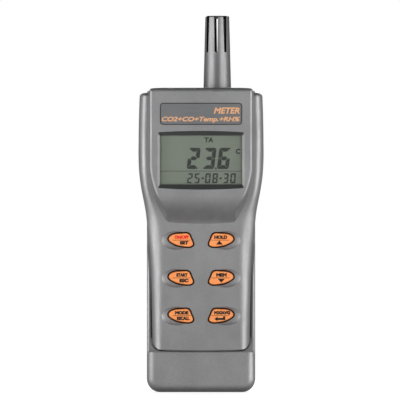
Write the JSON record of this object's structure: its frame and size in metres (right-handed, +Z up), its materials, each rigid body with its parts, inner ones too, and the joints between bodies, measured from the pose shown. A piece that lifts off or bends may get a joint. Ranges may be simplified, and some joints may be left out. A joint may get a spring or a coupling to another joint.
{
  "type": "carbon dioxide monitor",
  "caption": "Upright hand-held gas meter: slim handle with a keypad, wide head with a display under a bevelled window, slotted sensor probe on top and a battery door behind.",
  "frame": {"origin": "middle of the footprint, on the surface the meter stands on", "axes": "+Z up along the meter to the probe's tip, -Y out of the display, +X to the right for someone reading it"},
  "size_m": [0.0682, 0.056, 0.205],
  "materials": {
    "housing": "satin metallic grey moulding",
    "probe_plastic": "satin dark grey moulding",
    "window": "clear",
    "lcd": "grey-green reflective display",
    "diffuser": "milky",
    "black_plastic": "moulded",
    "contact_rubber": "silicone",
    "label": "printed film",
    "board": "solder mask",
    "chip": "moulded package",
    "steel": "plated",
    "nickel": "nickel plated",
    "sensor_metal": "gilded",
    "sensor_plastic": "moulded",
    "filter": "felt",
    "foam": "open cell foam",
    "jack": "moulded",
    "key_orange": "satin silicone",
    "cell": "printed sleeve"
  },
  "bodies": {
    "root": {"battery_1": "cell", "battery_2": "cell", "battery_3": "cell", "battery_4": "cell", "battery_contacts": "nickel", "battery_springs": "steel", "board_header": "black_plastic", "board_screws": "steel", "board_standoffs": "nickel", "buzzer": "black_plastic", "co2_chamber": "sensor_metal", "co2_window": "filter", "co_sensor": "sensor_plastic", "co_sensor_pins": "nickel", "data_jack": "jack", "display_window": "window", "dust_filter": "filter", "front_housing": "housing", "housing_screws": "steel", "humidity_sensor": "chip", "keypad_mat": "contact_rubber", "lcd_backlight": "diffuser", "lcd_frame": "black_plastic", "lcd_glass": "lcd", "main_board": "board", "microcontroller": "chip", "name_plate": "label", "power_jack": "jack", "probe_board": "board", "probe_guard": "probe_plastic", "probe_plug": "black_plastic", "probe_seal": "contact_rubber", "rear_housing": "housing", "sensor_board": "board", "temperature_bead": "chip", "zebra_strips": "contact_rubber"},
    "door": {"battery_door": "housing", "door_foam": "foam"},
    "button_power": {"key_power": "key_orange", "pill_power": "contact_rubber"},
    "button_hold": {"key_hold": "key_orange", "pill_hold": "contact_rubber"},
    "button_start": {"key_start": "key_orange", "pill_start": "contact_rubber"},
    "button_memory": {"key_memory": "key_orange", "pill_memory": "contact_rubber"},
    "button_mode": {"key_mode": "key_orange", "pill_mode": "contact_rubber"},
    "button_average": {"key_average": "key_orange", "pill_average": "contact_rubber"}
  },
  "joints": [
    {"name": "door_hinge", "type": "hinge", "parent": "root", "child": "door", "pos_m": [0, 0.014, 0.009], "axis": [-1, 0, 0], "range_deg": [0, 70]},
    {"name": "press_power", "type": "slide", "parent": "root", "child": "button_power", "axis": [0, 1, 0], "range_m": [0, 0.001], "stiffness_N_per_m": 500, "springref_m": -0.001},
    {"name": "press_hold", "type": "slide", "parent": "root", "child": "button_hold", "axis": [0, 1, 0], "range_m": [0, 0.001], "stiffness_N_per_m": 500, "springref_m": -0.001},
    {"name": "press_start", "type": "slide", "parent": "root", "child": "button_start", "axis": [0, 1, 0], "range_m": [0, 0.001], "stiffness_N_per_m": 500, "springref_m": -0.001},
    {"name": "press_memory", "type": "slide", "parent": "root", "child": "button_memory", "axis": [0, 1, 0], "range_m": [0, 0.001], "stiffness_N_per_m": 500, "springref_m": -0.001},
    {"name": "press_mode", "type": "slide", "parent": "root", "child": "button_mode", "axis": [0, 1, 0], "range_m": [0, 0.001], "stiffness_N_per_m": 500, "springref_m": -0.001},
    {"name": "press_average", "type": "slide", "parent": "root", "child": "button_average", "axis": [0, 1, 0], "range_m": [0, 0.001], "stiffness_N_per_m": 500, "springref_m": -0.001}
  ]
}
